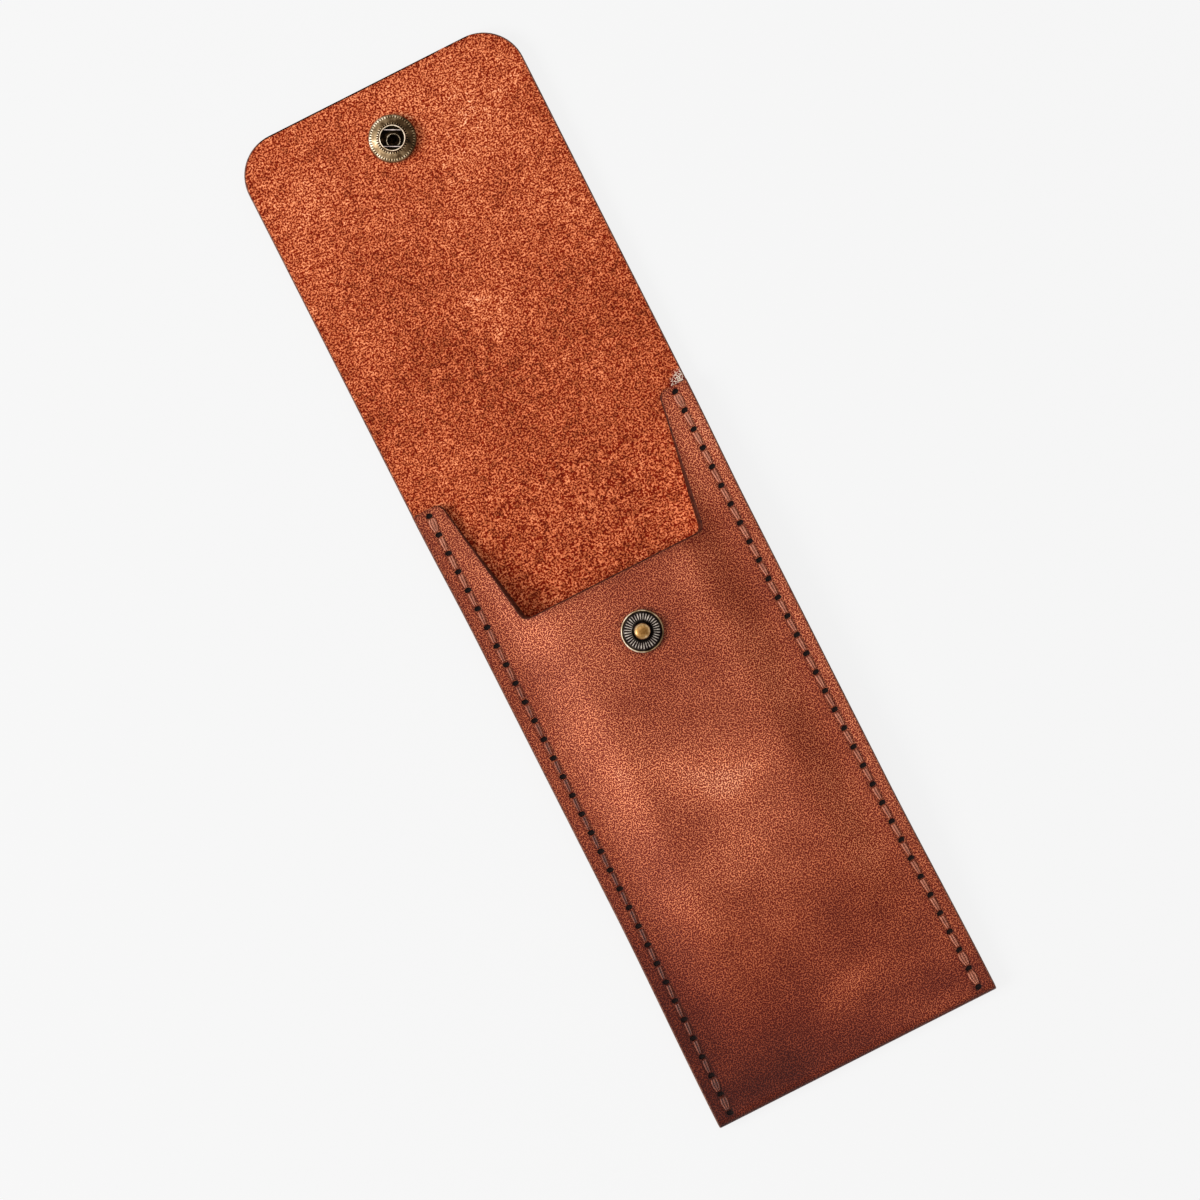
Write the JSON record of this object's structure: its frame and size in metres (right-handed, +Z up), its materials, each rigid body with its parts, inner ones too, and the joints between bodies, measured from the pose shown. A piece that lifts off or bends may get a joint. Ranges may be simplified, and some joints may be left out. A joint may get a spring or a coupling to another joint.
{
  "type": "leather pen case",
  "caption": "Slim stitched leather pocket for pens and pencils, cut from one strip, with a notched mouth and a fold-over flap that shuts with a snap fastener.",
  "frame": {"origin": "on the desk under the middle of the open case: the bottom centre of its bounding box", "axes": "+Y runs along the open case towards the flap's tip, +Z is up from the desk, X is across"},
  "size_m": [0.0744, 0.2612, 0.0167],
  "materials": {
    "grain_leather": "waxed red-brown grain side with lighter patches",
    "flesh_leather": "orange-brown napped flesh side, burnished edges",
    "waxed_thread": "flat waxed thread",
    "antique_brass": "antiqued, dark in the hollows",
    "spring_steel": "drawn wire"
  },
  "bodies": {
    "case": {"front_panel": "grain_leather", "back_panel": "grain_leather", "left_seam_thread": "waxed_thread", "right_seam_thread": "waxed_thread", "snap_stud": "antique_brass", "stud_rivet": "antique_brass"},
    "fold_1": {"fold_strip_1": "flesh_leather"},
    "fold_2": {"fold_strip_2": "flesh_leather"},
    "flap": {"flap_panel": "flesh_leather", "snap_socket": "antique_brass", "socket_spring": "spring_steel", "snap_cap": "antique_brass"}
  },
  "joints": [
    {"name": "fold_hinge_1", "type": "hinge", "parent": "case", "child": "fold_1", "pos_m": [0, 0.04237, 0.0042], "axis": [1, 0, 0], "range_deg": [-7, 60], "deforming": ["socket_spring"]},
    {"name": "fold_hinge_2", "type": "hinge", "parent": "fold_1", "child": "fold_2", "pos_m": [0, 0.05045, 0.0042], "axis": [1, 0, 0], "range_deg": [-7, 60]},
    {"name": "fold_hinge_3", "type": "hinge", "parent": "fold_2", "child": "flap", "pos_m": [0, 0.05853, 0.0042], "axis": [1, 0, 0], "range_deg": [-7, 60]}
  ],
  "couplings": [
    {"joint": "fold_hinge_2", "follows": "fold_hinge_1", "ratio": 1},
    {"joint": "fold_hinge_3", "follows": "fold_hinge_1", "ratio": 1}
  ]
}
